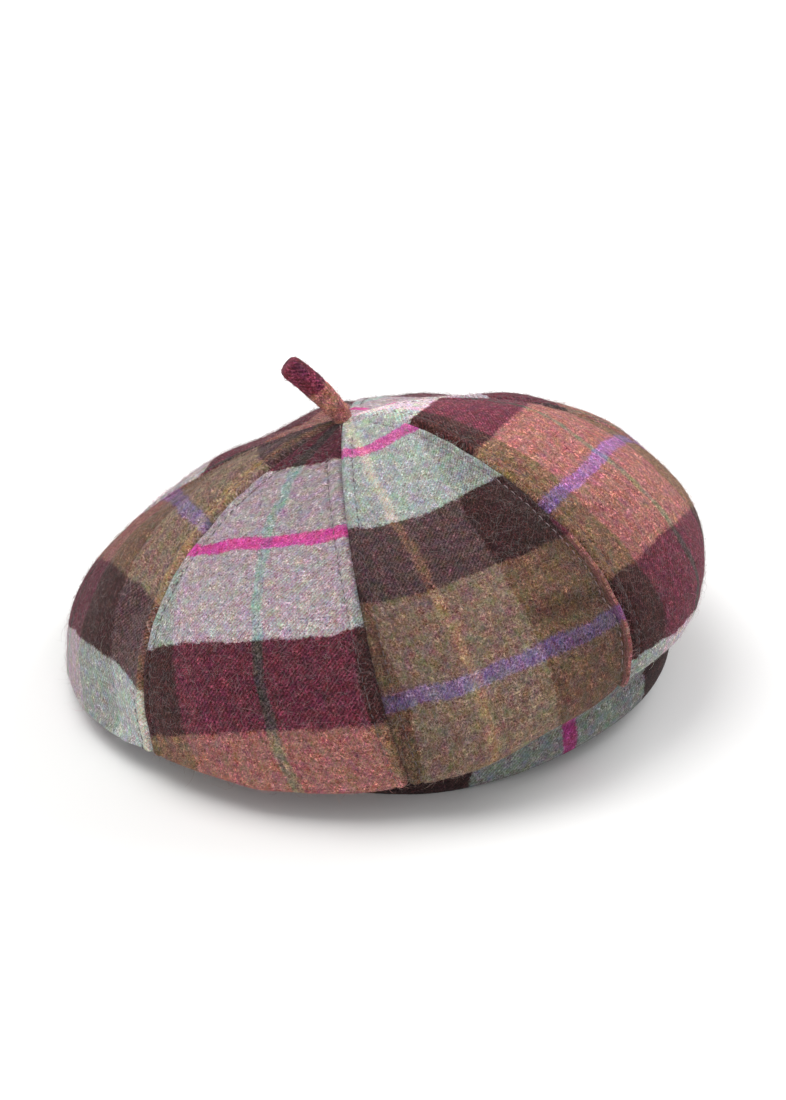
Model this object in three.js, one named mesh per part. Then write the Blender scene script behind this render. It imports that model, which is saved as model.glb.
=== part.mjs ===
// Tam o shanter: a soft gored cap of checked wool, resting on its headband.
// Millimetres, +Z up, the front of the cap faces -Y. The origin is the middle of its underside.
import * as THREE from 'three';

// Driving dimensions
const CLOTH = 1.6;
const GAP = 0.3;
const CROWN_X = -1.8;
const CROWN_Y = 24.7;
const APEX = new THREE.Vector3(-16.6, 25.2, 94.9);
const APEX_HOLE = 3.8;
const BAND_X = 4.5;
const BAND_Y = 24.4;
const BAND_HALF_WIDTH = 95.5;
const BAND_HALF_DEPTH = 96.1;
const BAND_HEIGHT = 24;
const BAND_WALL = 3.2;
const BAND_LIP = 1.1;
const BAND_LAP = 2.6;
const UNDER_SAG = 7;
const STALK_RADIUS = 4.0;

// Mesh fineness
const PANEL_COLUMNS = 8;
const TOP_ROWS = 18;
const UNDER_ROWS = 11;
const BAND_STEPS = 72;
const STALK_SIDES = 14;
const STALK_RINGS = 12;

// Where the rim of the crown and the headband run, one row per seam, from the front seam round by the right.
// turn: direction of the seam's rim point, in degrees from the front.
// reach, height: distance of the rim from the crown's middle, and its height.
// drop: how far the cloth sinks below the rim before it turns in under the crown.
// lift: height of the headband's lower edge above the surface.
// back: how far the seam has moved on round the crown by the time it reaches the rim, in seam counts.
const SEAMS = [
  { turn: 3.6, reach: 111, height: 17, drop: 10, lift: 0, back: 0 },
  { turn: 49.5, reach: 108.9, height: 40, drop: 9, lift: 7, back: 0 },
  { turn: 103.8, reach: 109.8, height: 40.4, drop: 12, lift: 6, back: 0 },
  { turn: 138, reach: 109.6, height: 25.6, drop: 12, lift: 0, back: 0 },
  { turn: 183, reach: 110.4, height: 15.4, drop: 12, lift: 0, back: -0.1 },
  { turn: 228, reach: 106.6, height: 10, drop: 11, lift: 0, back: -0.2 },
  { turn: 277.8, reach: 115.3, height: 9, drop: 10.2, lift: 0, back: -0.35 },
  { turn: 316.5, reach: 117.2, height: 13, drop: 10, lift: 0, back: 0 },
];

// How each seam runs over the top of the crown, in the same order.
// slope, lead: how steeply and how far the seam leaves the apex.
// shoulder: how upright the seam arrives at the rim.
// swingTop, swingRim: how far the seam bows sideways near the apex and near the rim.
const SEAM_LINES = [
  { slope: -2.3, lead: 0.28, shoulder: 0.41, swingTop: -12.3, swingRim: -12.1 },
  { slope: -29.8, lead: 0.34, shoulder: 0.63, swingTop: 3.6, swingRim: 5.8 },
  { slope: -11.1, lead: 0.32, shoulder: 0.74, swingTop: 11, swingRim: 16.9 },
  { slope: 13.7, lead: 0.34, shoulder: 0.61, swingTop: 8.5, swingRim: 12.9 },
  { slope: 16.5, lead: 0.34, shoulder: 0.51, swingTop: 2.4, swingRim: 4.9 },
  { slope: 25.5, lead: 0.29, shoulder: 0.4, swingTop: -4.2, swingRim: -7.7 },
  { slope: 18.7, lead: 0.27, shoulder: 0.4, swingTop: -13.7, swingRim: -19.8 },
  { slope: 12, lead: 0.37, shoulder: 0.68, swingTop: -11.6, swingRim: -19 },
];

// Dents of the soft crown: where on the seam count and on the way from apex to headband, how wide, how deep
const DENTS = [
  { u: 6.73, t: 0.96, wide: 0.17, long: 0.1, depth: 4 },
  { u: 6.85, t: 0.69, wide: 0.1, long: 0.16, depth: 2 },
  { u: 0.6, t: 0.34, wide: 0.3, long: 0.07, depth: 2 },
];

// The eight panels, each from its seam to the next: how far it stands proud between them, and its colour
const PANELS = [
  { name: 'crown_panel_front_right', puff: 2.4, colour: 0x5b4a35 },
  { name: 'crown_panel_right', puff: 4.8, colour: 0x8a5a58 },
  { name: 'crown_panel_back_right', puff: 3.2, colour: 0x8d9a8c },
  { name: 'crown_panel_back', puff: 2.9, colour: 0x6a4a48 },
  { name: 'crown_panel_back_left', puff: 2.6, colour: 0x8a7f80 },
  { name: 'crown_panel_left_rear', puff: 2.2, colour: 0x7a4c52 },
  { name: 'crown_panel_left', puff: 2.2, colour: 0x6f5b48 },
  { name: 'crown_panel_front_left', puff: 2.2, colour: 0x9d8390 },
];

// Headband section, outside then inside: distance outside the oval and height above its lower edge
const BAND_PROFILE = [
  { out: -0.7, up: BAND_HEIGHT },
  { out: 0, up: 22.8 },
  { out: 0.9, up: 18 },
  { out: 0.8, up: 14.5 },
  { out: 0, up: 12 },
  { out: 0.8, up: 9.5 },
  { out: 0.9, up: 5 },
  { out: 0, up: 0.9 },
  { out: -0.7, up: 0 },
  { out: 0.7 - BAND_WALL, up: 0 },
  { out: -BAND_WALL, up: 0.9 },
  { out: -BAND_WALL, up: 22.8 },
  { out: 0.7 - BAND_WALL, up: BAND_HEIGHT },
];

// Stalk: where it runs, measured from the apex, and its thickness along its length
const STALK_PATH = [
  new THREE.Vector3(0, 0, -2.5),
  new THREE.Vector3(-1.5, 0, 4),
  new THREE.Vector3(-10, 0, 12),
  new THREE.Vector3(-20, 0, 21),
];
const STALK_SECTIONS = [
  { along: 0, radius: 3.0 },
  { along: 0.12, radius: 3.1 },
  { along: 0.3, radius: 3.5 },
  { along: 0.55, radius: STALK_RADIUS },
  { along: 0.85, radius: STALK_RADIUS },
  { along: 0.95, radius: 3.6 },
  { along: 1, radius: 2.4 },
];
const STALK_COLOUR = 0x7a4a4a;
const BAND_COLOUR = 0x6c7365;
const WOOL_ROUGHNESS = 0.95;

const BACK_FROM = 0.1;
const BACK_FULL_AT = 0.8;
const HUB = new THREE.Vector3(CROWN_X, CROWN_Y, 25);
const PUFF_POWER = 0.75;
const PUFF_FULL_AT = 0.9;
const PUFF_RISE_POWER = 1.5;
const PUFF_LOSS_UNDER = 0.75;
const HOLE_SEARCH_END = 0.4;
const HOLE_SEARCH_STEPS = 24;
const LAP_FROM = 1.88;
const FOLD_AT = 1.25;
const FOLD_SPREAD = 0.3;
const FOLD_THINNING = 0.4;
const UP = new THREE.Vector3(0, 0, 1);
const SEAM_COUNT = SEAMS.length;
const FULL_TURN = 360;
const STEP_U = 0.02;
const STEP_T = 0.01;

// Value of a table column between the seams, on a smooth closed curve through its rows
function between(table, column, u, growth = 0) {
  const first = Math.floor(u);
  const share = u - first;
  const row = (step) => {
    const index = first + step;
    const wrapped = THREE.MathUtils.euclideanModulo(index, SEAM_COUNT);
    return table[wrapped][column] + growth * Math.floor(index / SEAM_COUNT);
  };
  const [a, b, c, d] = [row(-1), row(0), row(1), row(2)];
  const cubic = 3 * (b - c) + d - a;
  const square = 2 * a - 5 * b + 4 * c - d;
  return b + 0.5 * share * (c - a + share * (square + share * cubic));
}

function directionAt(u) {
  const angle = THREE.MathUtils.degToRad(between(SEAMS, 'turn', u, FULL_TURN));
  return new THREE.Vector3(Math.sin(angle), -Math.cos(angle), 0);
}

// A point of the headband's oval, moved outward and upward
function bandPoint(u, out, up) {
  const direction = directionAt(u);
  const radius = 1 / Math.hypot(direction.x / BAND_HALF_WIDTH, direction.y / BAND_HALF_DEPTH);
  const height = Math.max(0, between(SEAMS, 'lift', u)) + up;
  return new THREE.Vector3(BAND_X, BAND_Y, height).addScaledVector(direction, radius + out);
}

// The crown's smooth underlying surface: t runs from 0 at the apex over 1 at the rim to 2 on the headband
function smoothPoint(u, t) {
  if (t > LAP_FROM) return lapCurve(u).getPoint((t - LAP_FROM) / (2 - LAP_FROM));
  const rim = new THREE.Vector3(CROWN_X, CROWN_Y, between(SEAMS, 'height', u));
  rim.addScaledVector(directionAt(u), between(SEAMS, 'reach', u));
  if (t <= 1) return topCurve(u, rim).getPoint(t);
  return underCurve(u, rim).getPoint((t - 1) / (LAP_FROM - 1));
}

// Where a seam is on the seam count, at t on its way from apex to headband
function seamAt(seam, t) {
  const moved = SEAMS[seam % SEAM_COUNT].back * THREE.MathUtils.smoothstep(t, BACK_FROM, BACK_FULL_AT);
  return seam + moved;
}

// A point of the crown's outer face, where each panel stands proud between its seams
function crownPoint(panel, u, t) {
  const point = smoothPoint(u, t);
  const share = THREE.MathUtils.inverseLerp(seamAt(panel, t), seamAt(panel + 1, t), u);
  const across = Math.max(0, 1 - (2 * share - 1) ** 2) ** PUFF_POWER;
  const rise = Math.sin((Math.PI / 2) * Math.min(t / PUFF_FULL_AT, 1)) ** PUFF_RISE_POWER;
  const fall = 1 - PUFF_LOSS_UNDER * Math.max(t - 1, 0) ** 2;
  const outward = point.clone().sub(HUB).normalize();
  return point.addScaledVector(outward, PANELS[panel].puff * across * rise * fall - dentDepth(u, t));
}

function dentDepth(u, t) {
  const depths = DENTS.map((dent) => {
    const around = THREE.MathUtils.euclideanModulo(u - dent.u + SEAM_COUNT / 2, SEAM_COUNT) - SEAM_COUNT / 2;
    return dent.depth * Math.exp(-((around / dent.wide) ** 2) - ((t - dent.t) / dent.long) ** 2);
  });
  return depths.reduce((sum, depth) => sum + depth, 0);
}

function topCurve(u, rim) {
  const run = rim.clone().sub(APEX).setZ(0);
  const length = run.length();
  const outward = run.clone().normalize();
  const sideways = new THREE.Vector3(-outward.y, outward.x, 0);
  const slope = THREE.MathUtils.degToRad(between(SEAM_LINES, 'slope', u));
  const reach = length * between(SEAM_LINES, 'lead', u);
  const leave = APEX.clone().addScaledVector(outward, reach * Math.cos(slope));
  leave.addScaledVector(UP, -reach * Math.sin(slope));
  leave.addScaledVector(sideways, between(SEAM_LINES, 'swingTop', u));
  const rise = (APEX.z - rim.z) * between(SEAM_LINES, 'shoulder', u);
  const arrive = rim.clone().addScaledVector(UP, rise);
  arrive.addScaledVector(sideways, between(SEAM_LINES, 'swingRim', u));
  return new THREE.CubicBezierCurve3(APEX, leave, arrive, rim);
}

// The cloth sinks below the rim, runs in under the crown and comes up to the headband's top
function underCurve(u, rim) {
  const lip = bandPoint(u, BAND_LIP, BAND_HEIGHT + GAP);
  const sink = rim.clone().addScaledVector(UP, -between(SEAMS, 'drop', u));
  const turnIn = new THREE.Vector3((lip.x + rim.x) / 2, (lip.y + rim.y) / 2, lip.z - UNDER_SAG);
  return new THREE.CubicBezierCurve3(rim, sink, turnIn, lip);
}

// The last of the cloth lies flat on the headband's top
function lapCurve(u) {
  const top = BAND_HEIGHT + GAP;
  return new THREE.LineCurve3(bandPoint(u, BAND_LIP, top), bandPoint(u, -BAND_LAP, top));
}

// Outward direction of the smooth surface, the same on both sides of a seam
function crownNormal(u, t) {
  const along = smoothPoint(u, Math.min(t + STEP_T, 2)).sub(smoothPoint(u, t - STEP_T));
  const around = smoothPoint(u + STEP_U, t).sub(smoothPoint(u - STEP_U, t));
  return along.cross(around).normalize();
}

// How strongly the cloth is pressed where it is folded under at the rim, from 0 to 1
function foldPress(t) {
  return Math.exp(-(((t - FOLD_AT) / FOLD_SPREAD) ** 2));
}

function clothThickness(t) {
  return CLOTH * (1 - FOLD_THINNING * foldPress(t));
}

// The place on the surface where it has come as far from the apex as the stalk's hole
function holeEdge(u) {
  let near = 0;
  let far = HOLE_SEARCH_END;
  for (let step = 0; step < HOLE_SEARCH_STEPS; step += 1) {
    const middle = (near + far) / 2;
    const point = smoothPoint(u, middle);
    const distance = Math.hypot(point.x - APEX.x, point.y - APEX.y);
    if (distance < APEX_HOLE) near = middle;
    else far = middle;
  }
  return far;
}

function meshFrom(name, points, triangles, colour) {
  const geometry = new THREE.BufferGeometry();
  geometry.setAttribute('position', new THREE.Float32BufferAttribute(points.flatMap((p) => p.toArray()), 3));
  geometry.setIndex(triangles.flat());
  geometry.computeVertexNormals();
  const material = new THREE.MeshStandardMaterial({ color: colour, roughness: WOOL_ROUGHNESS, metalness: 0 });
  const mesh = new THREE.Mesh(geometry, material);
  mesh.name = name;
  return mesh;
}

// A cloth panel: its outer face, an inner face one cloth thickness behind it, and the edge between them
function crownPanel(panel) {
  const outer = [];
  const inner = [];
  const rows = TOP_ROWS + UNDER_ROWS;
  for (let row = 0; row <= rows; row += 1) {
    const place = (u) => (row <= TOP_ROWS
      ? THREE.MathUtils.lerp(holeEdge(u), 1, row / TOP_ROWS)
      : 1 + (row - TOP_ROWS) / UNDER_ROWS);
    const [start, end] = [seamAt(panel, place(panel)), seamAt(panel + 1, place(panel + 1))];
    const width = smoothPoint(start, place(start)).distanceTo(smoothPoint(end, place(end)));
    const inset = (GAP / 2 / width) * (1 + foldPress(place(panel)));
    for (let column = 0; column <= PANEL_COLUMNS; column += 1) {
      const share = THREE.MathUtils.lerp(inset, 1 - inset, column / PANEL_COLUMNS);
      const u = THREE.MathUtils.lerp(start, end, share);
      const point = crownPoint(panel, u, place(u));
      outer.push(point);
      inner.push(point.clone().addScaledVector(crownNormal(u, place(u)), -clothThickness(place(u))));
    }
  }
  const wide = PANEL_COLUMNS + 1;
  const behind = outer.length;
  const triangles = [];
  for (let row = 0; row < rows; row += 1) {
    for (let column = 0; column < PANEL_COLUMNS; column += 1) {
      const a = row * wide + column;
      const [b, c, d] = [a + wide, a + wide + 1, a + 1];
      triangles.push([a, b, c], [a, c, d]);
      triangles.push([behind + a, behind + c, behind + b], [behind + a, behind + d, behind + c]);
    }
  }
  const last = rows * wide;
  const rim = [];
  for (let row = 0; row < rows; row += 1) rim.push(row * wide);
  for (let column = 0; column < PANEL_COLUMNS; column += 1) rim.push(last + column);
  for (let row = rows; row > 0; row -= 1) rim.push(row * wide + PANEL_COLUMNS);
  for (let column = PANEL_COLUMNS; column > 0; column -= 1) rim.push(column);
  rim.forEach((from, index) => {
    const to = rim[(index + 1) % rim.length];
    triangles.push([to, from, behind + from], [to, behind + from, behind + to]);
  });
  const { name, colour } = PANELS[panel];
  return meshFrom(name, [...outer, ...inner], triangles, colour);
}

// Triangles between closed rings of points, each ring joined to the one after it
function ringTriangles(ringCount, ringSize, joined) {
  const triangles = [];
  const bands = joined ? ringCount : ringCount - 1;
  for (let ring = 0; ring < bands; ring += 1) {
    const next = ((ring + 1) % ringCount) * ringSize;
    for (let side = 0; side < ringSize; side += 1) {
      const beside = (side + 1) % ringSize;
      const a = ring * ringSize;
      triangles.push([a + side, a + beside, next + beside], [a + side, next + beside, next + side]);
    }
  }
  return triangles;
}

function headband() {
  const points = [];
  for (let step = 0; step < BAND_STEPS; step += 1) {
    const u = (step / BAND_STEPS) * SEAM_COUNT;
    BAND_PROFILE.forEach(({ out, up }) => points.push(bandPoint(u, out, up)));
  }
  const triangles = ringTriangles(BAND_STEPS, BAND_PROFILE.length, true);
  return meshFrom('headband', points, triangles, BAND_COLOUR);
}

function stalkRadius(along) {
  const next = Math.max(1, STALK_SECTIONS.findIndex((section) => section.along >= along));
  const [low, high] = [STALK_SECTIONS[next - 1], STALK_SECTIONS[next]];
  const share = (along - low.along) / (high.along - low.along);
  return THREE.MathUtils.lerp(low.radius, high.radius, THREE.MathUtils.smoothstep(share, 0, 1));
}

function stalk() {
  const path = new THREE.CubicBezierCurve3(...STALK_PATH.map((offset) => APEX.clone().add(offset)));
  const frames = path.computeFrenetFrames(STALK_RINGS, false);
  const points = [];
  for (let ring = 0; ring <= STALK_RINGS; ring += 1) {
    const along = ring / STALK_RINGS;
    const centre = path.getPointAt(along);
    const radius = stalkRadius(along);
    for (let side = 0; side < STALK_SIDES; side += 1) {
      const angle = (side / STALK_SIDES) * 2 * Math.PI;
      const point = centre.clone().addScaledVector(frames.normals[ring], radius * Math.cos(angle));
      points.push(point.addScaledVector(frames.binormals[ring], radius * Math.sin(angle)));
    }
  }
  const triangles = ringTriangles(STALK_RINGS + 1, STALK_SIDES, false);
  const top = STALK_RINGS * STALK_SIDES;
  points.push(path.getPointAt(0), path.getPointAt(1));
  const [foot, tip] = [points.length - 2, points.length - 1];
  for (let side = 0; side < STALK_SIDES; side += 1) {
    const beside = (side + 1) % STALK_SIDES;
    triangles.push([foot, beside, side], [tip, top + side, top + beside]);
  }
  return meshFrom('stalk', points, triangles, STALK_COLOUR);
}

const cap = new THREE.Group();
PANELS.forEach((panel, index) => cap.add(crownPanel(index)));
cap.add(headband());
cap.add(stalk());

// The origin goes to the middle of the cap's box, on the surface it rests on
const bounds = new THREE.Box3().setFromObject(cap);
const middle = bounds.getCenter(new THREE.Vector3());
cap.position.set(-middle.x, -middle.y, -bounds.min.z);

export default cap;
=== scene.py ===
"""Looks of a soft gored cap of checked wool, over the solids of its frame."""

import math
from functools import partial

import bpy
import numpy as np
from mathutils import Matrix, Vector


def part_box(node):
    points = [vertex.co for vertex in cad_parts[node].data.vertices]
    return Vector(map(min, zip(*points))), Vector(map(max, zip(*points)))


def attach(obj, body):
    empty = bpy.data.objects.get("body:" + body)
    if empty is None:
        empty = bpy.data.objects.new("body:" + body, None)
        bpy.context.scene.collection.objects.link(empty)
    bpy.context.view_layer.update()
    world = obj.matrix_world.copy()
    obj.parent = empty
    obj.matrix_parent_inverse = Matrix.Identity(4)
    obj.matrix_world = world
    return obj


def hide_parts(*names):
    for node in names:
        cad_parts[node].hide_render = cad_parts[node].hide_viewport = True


bl_info = {
    "name": "Gored wool cap",
    "version": (1, 0, 0),
    "blender": (4, 5, 0),
    "location": "View3D > Sidebar > Cap",
    "description": "Builds the cloth, stitching and studio of a gored wool cap",
    "category": "Add Mesh",
}

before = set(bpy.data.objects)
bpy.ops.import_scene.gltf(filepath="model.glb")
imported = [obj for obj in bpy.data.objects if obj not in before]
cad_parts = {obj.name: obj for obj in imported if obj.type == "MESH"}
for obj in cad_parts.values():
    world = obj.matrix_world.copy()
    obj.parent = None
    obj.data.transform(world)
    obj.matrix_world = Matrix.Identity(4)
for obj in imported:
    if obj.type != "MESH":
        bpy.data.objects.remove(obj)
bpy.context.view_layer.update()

# Shape of the crown, in millimetres, one value per seam from the front seam round by the right side
TURN = (3.6, 49.5, 103.8, 138.0, 183.0, 228.0, 277.8, 316.5)
REACH = (111.0, 108.9, 109.8, 109.6, 110.4, 106.6, 115.3, 117.2)
HEIGHT = (17.0, 40.0, 40.4, 25.6, 15.4, 10.0, 9.0, 13.0)
DROP = (10.0, 9.0, 12.0, 12.0, 12.0, 11.0, 10.2, 10.0)
LIFT = (0.0, 7.0, 6.0, 0.0, 0.0, 0.0, 0.0, 0.0)
SLOPE = (-2.3, -29.8, -11.1, 13.7, 16.5, 25.5, 18.7, 12.0)
LEAD = (0.28, 0.34, 0.32, 0.34, 0.34, 0.29, 0.27, 0.37)
SHOULDER = (0.41, 0.63, 0.74, 0.61, 0.51, 0.4, 0.4, 0.68)
SWING_TOP = (-12.3, 3.6, 11.0, 8.5, 2.4, -4.2, -13.7, -11.6)
SWING_RIM = (-12.1, 5.8, 16.9, 12.9, 4.9, -7.7, -19.8, -19.0)
BACK = (0.0, 0.0, 0.0, 0.0, -0.1, -0.2, -0.35, 0.0)
BACK_FROM = 0.1
BACK_FULL_AT = 0.8
SEAM_COUNT = len(TURN)
CROWN_MIDDLE = np.array((-1.8, 24.7, 0.0))
APEX = np.array((-16.6, 25.2, 94.9))
BAND_MIDDLE = np.array((4.5, 24.4, 0.0))
BAND_HALF_WIDTH = 95.5
BAND_HALF_DEPTH = 96.1
BAND_HEIGHT = 24.0
BAND_LIP = 1.1
BAND_LAP = 2.6
UNDER_SAG = 7.0
CLOTH_GAP = 0.3
LAP_FROM = 1.88
HUB_HEIGHT = 25.0
PUFF_POWER = 0.75
PUFF_FULL_AT = 0.9
PUFF_RISE_POWER = 1.5
PUFF_LOSS_UNDER = 0.75
FOLD_AT = 1.25
FOLD_SPREAD = 0.3
FOLD_THINNING = 0.4
UP = np.array((0.0, 0.0, 1.0))
MM = 0.001

# Dents of the soft crown: seam count, way from apex to headband, width, length and depth
DENTS = (
    (6.73, 0.96, 0.17, 0.1, 4.0),
    (6.85, 0.69, 0.1, 0.16, 2.0),
    (0.6, 0.34, 0.3, 0.07, 2.0),
)

# The gores from each seam to the next.
# shade: painted light and shade, how much the cloth's colour is lightened or darkened at the gore's middle for the
# light that falls there, and its growth along the gore and toward its seams.
# puff: how far the gore stands proud.
# weft: shift of the weft order along the gore, then its skew, bow, wave, stretch, twist, sag and flare.
# warp: shift of the warp order across it, then its lean, bend, snake, spread and fan.
GORE_COLUMNS = ("name", "shade", "puff", "slot", "weft", "warp")
GORE_ROWS = (
    ("front_right", (0.97, -0.12, -0.5), 2.4, "check_brown",
     (-20.2, -9.9, -1.1, 1.8, 0.6, 4.7, -2.0, -2.2), (106.6, 3.5, -5.6, 3.8, 5.0, -7.0)),
    ("right", (1.7, -0.15, -0.3), 4.8, "check_rose",
     (10.7, -13.3, -13.4, -0.9, -2.2, 1.2, -4.6, 6.9), (-6.5, 38.4, -2.3, -15.6, 7.9, 12.0)),
    ("back_right", (1.15, 0.0, 0.0), 3.2, "check_green",
     (-15.0, 4.0, 0.0, 0.0, 0.0, 0.0, 0.0, 0.0), (20.0, 2.0, 0.0, 0.0, 0.0, 0.0)),
    ("back", (1.05, 0.0, 0.0), 2.9, "check_rose",
     (-15.0, -5.0, 0.0, 0.0, 0.0, 0.0, 0.0, 0.0), (-5.0, 3.0, 0.0, 0.0, 0.0, 0.0)),
    ("back_left", (1.05, 0.0, 0.0), 2.6, "check_lilac",
     (-100.0, 6.0, 0.0, 0.0, 0.0, 0.0, 0.0, 0.0), (12.0, -3.0, 0.0, 0.0, 0.0, 0.0)),
    ("left_rear", (1.1, 0.0, 0.0), 2.2, "check_rose",
     (-97.0, 5.0, 0.0, 0.0, 0.0, 0.0, 0.0, 0.0), (-10.0, 2.0, 0.0, 0.0, 0.0, 0.0)),
    ("left", (0.95, 0.2, 0.0), 2.2, "check_brown",
     (38.8, 4.5, -15.2, 1.1, 3.1, -2.9, 1.6, 2.7), (62.9, -43.5, 1.1, 15.6, 4.6, 21.7)),
    ("front_left", (1.02, 0.22, 0.0), 2.2, "check_lilac",
     (-60.8, 20.2, -8.7, -1.2, 0.1, -9.9, -3.6, 3.3), (0.8, -8.9, -6.0, 4.1, 2.0, -4.9)),
)
GORES = [dict(zip(GORE_COLUMNS, row)) for row in GORE_ROWS]

# The check, in millimetres of cloth: where each yarn group starts, measured from the middle of its first stripe
WARP_REPEAT = 186.0
WARP_ORDER = (
    ("teal", 0.0),
    ("rose", 1.8),
    ("moss", 34.0),
    ("heather", 68.0),
    ("gold", 91.0),
    ("heather", 95.0),
    ("moss", 118.0),
    ("rose", 152.0),
    ("teal", 184.2),
)
WEFT_REPEAT = 200.0
DARK_WEFT_FROM = 133.0
EDGE_BLUR = 0.35
WEFT_ORDER = (
    ("pink", 0.0),
    ("mist", 2.6),
    ("dark", 37.0),
    ("straw", 67.0),
    ("violet", 97.1),
    ("straw", 102.9),
    ("dark", 133.0),
    ("mist", 163.0),
    ("pink", 197.4),
)

# Each yarn's share of the cloth's colour, as the square root of how much light it sends back
YARN_SHARES = {
    "teal": (0.2, 0.158, 0.16),
    "rose": (0.292, 0.117, 0.16),
    "moss": (0.185, 0.097, 0.097),
    "heather": (0.278, 0.196, 0.2),
    "gold": (0.4, 0.274, 0.225),
    "pink": (0.49, 0.122, 0.37),
    "mist": (0.347, 0.45, 0.431),
    "dark": (0.0, 0.0, 0.0),
    "straw": (0.195, 0.176, 0.112),
    "violet": (0.18, 0.178, 0.3),
}

# Curled hairs drawn in the cloth's colour: noise scale, stretch of the place and strength, negative for dark
HAIR_LAYERS = (
    (520.0, (1.0, 1.0, 1.0), 1.0),
    (760.0, (0.6, 1.3, 1.0), 0.8),
    (690.0, (1.4, 0.6, 1.0), 0.8),
    (900.0, (1.0, 1.0, 1.0), -0.9),
)
HAIR_WIDTH = 0.03

# Cloth colour: wander of the woven edges in metres, amounts of its specks, floats and clouds, and its limits
SLOW_WANDER = 0.0045
QUICK_WANDER = 0.0028
RIB_WANDER = 0.0007
HUE_AMOUNTS = (0.7, 0.7, 1.1)
BROAD_SHADE = 0.16
SPECK_LIMIT = 0.42
COARSE_NAP = 1.2
NAP_HEIGHT = 0.0004

# Soft creases: gore, place across and along it, rise along per mm across, half length, half width and depth
CREASES = (
    (0, 28.0, 115.0, 0.32, 17.0, 3.6, 2.8),
    (0, 22.0, 105.0, 0.32, 20.0, 6.0, -1.1),
    (0, -20.0, 88.0, -0.2, 18.0, 6.0, 0.6),
    (1, -30.0, 100.0, 0.5, 14.0, 5.0, 0.8),
    (7, -22.0, 70.0, 0.6, 16.0, 5.0, 0.6),
    (7, 12.0, 118.0, -0.1, 22.0, 6.0, 0.7),
    (6, 30.0, 95.0, -1.6, 14.0, 4.0, 1.0),
)

# The gore whose edge at its second seam is rolled outward, which shows the next yarn of the warp order
ROLLED_GORE = 0
ROLLED_WARP = 14.0
ROLLED_SHADE = 0.55
ROLL_EDGE = (-3.2, -2.7)
ROLL_STARTS = (84, 90)
ROLL_RISES = (80, 100)
ROLL_AT = 1.5
ROLL_WIDTH = 1.3
ROLL_GROOVE_AT = 3.4
ROLL_GROOVE_WIDTH = 0.5
ROLL_GROOVE_DEPTH = 0.9

# Painted shade in a crease: the wool's colour is darkened per mm of the crease's depth
CREASE_PAINTED_SHADE = 0.13

# Grids: a gore's first row, the counts of rows and columns, and the columns and place it is measured by
APEX_START = 0.012
TOP_ROWS = 190
UNDER_ROWS = 52
EDGE_COLUMNS = 16
MIDDLE_COLUMNS = 34
BAND_STEPS = 600
STALK_RINGS = 64
STALK_SIDES = 48
MEASURE_COLUMNS = 33
GORE_MEASURE_FROM = 0.03
EDGE_ZONE_SHARE = 0.3

# Seam relief, in mm: widths of valley, ridge, groove and drawn cloth, and the ridge's share of the stitch offset
VALLEY_WIDTH = 0.9
RIDGE_WIDTH = 1.5
GROOVE_WIDTH = 0.65
DRAWN_WIDTH = 9
RIDGE_AT = 0.52
PUCKER_SHARE = 0.25
FINE_SLACK = 0.3
RELIEF_FADE = (1.6, 1.85)
NARROW_GORE = (8, 24)
SLACK_FADE = (1, 14)

# Stitches: narrowest gore that has them and how far they run
STITCH_MIN_WIDTH = 15
STITCHES_TO = 1.32

# Seeds of the random draws
SEAM_SEED = 40
SLACK_SEED = 7
FINE_SLACK_SEED = 19
BAND_SEED = 23
STALK_SEED = 31
STALK_FINE_SEED = 32
STITCH_SEED = 5
FIBRE_SEED = 11

FIBRES_TO = 1.35
LAY_HALF_WIDTH = 50.0
LAY_HALF_LENGTH = 75.0
LAY_END = 155.0


def catmull(column, u, growth=0.0):
    """A table column read between its rows: a Catmull-Rom curve, closed on itself, that gains growth per round."""
    column = np.asarray(column, float)
    count = len(column)
    first = np.floor(u).astype(int)
    share = u - first

    def row(index):
        return column[index % count] + growth * (index // count)

    a, b, c, d = (row(first + step) for step in (-1, 0, 1, 2))
    cubic = 3 * (b - c) + d - a
    square = 2 * a - 5 * b + 4 * c - d
    return b + 0.5 * share * (c - a + share * (square + share * cubic))


def bezier(a, b, c, d, t):
    """Cubic Bezier: the four points weighted by the powers of t and of 1 - t."""
    t = t[..., None]
    m = 1 - t
    return m**3 * a + 3 * m * m * t * b + 3 * m * t * t * c + t**3 * d


def unit(vectors):
    """Each vector divided by its own length."""
    return vectors / np.maximum(np.linalg.norm(vectors, axis=-1, keepdims=True), 1e-9)


def smoothstep(x, low, high):
    """0 below low, 1 above high and 3s^2 - 2s^3 between them."""
    s = np.clip((x - low) / (high - low), 0, 1)
    return s * s * (3 - 2 * s)


def running_length(points):
    """Length of a polyline up to each of its points."""
    return np.concatenate([[0], np.cumsum(np.linalg.norm(np.diff(points, axis=0), axis=1))])


def cell_areas(points):
    """Area of each cell of a grid of points: half the cross product of its diagonals."""
    one, other = points[1:, 1:] - points[:-1, :-1], points[1:, :-1] - points[:-1, 1:]
    return np.linalg.norm(np.cross(one, other), axis=-1) / 2


def directions(u):
    """Level unit vectors at the seam count u: (sin, -cos, 0) of the table's angle."""
    angle = np.radians(catmull(TURN, u, 360.0))
    return np.stack([np.sin(angle), -np.cos(angle), 0 * angle], -1)


def band_point(u, out, up):
    """The headband's oval, 1 / hypot(x / a, y / b) from its middle, moved outward and upward."""
    d = directions(u)
    radius = 1 / np.hypot(d[..., 0] / BAND_HALF_WIDTH, d[..., 1] / BAND_HALF_DEPTH)
    height = np.maximum(0, catmull(LIFT, u)) + up
    return BAND_MIDDLE + d * (radius + out)[..., None] + UP * height[..., None]


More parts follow.
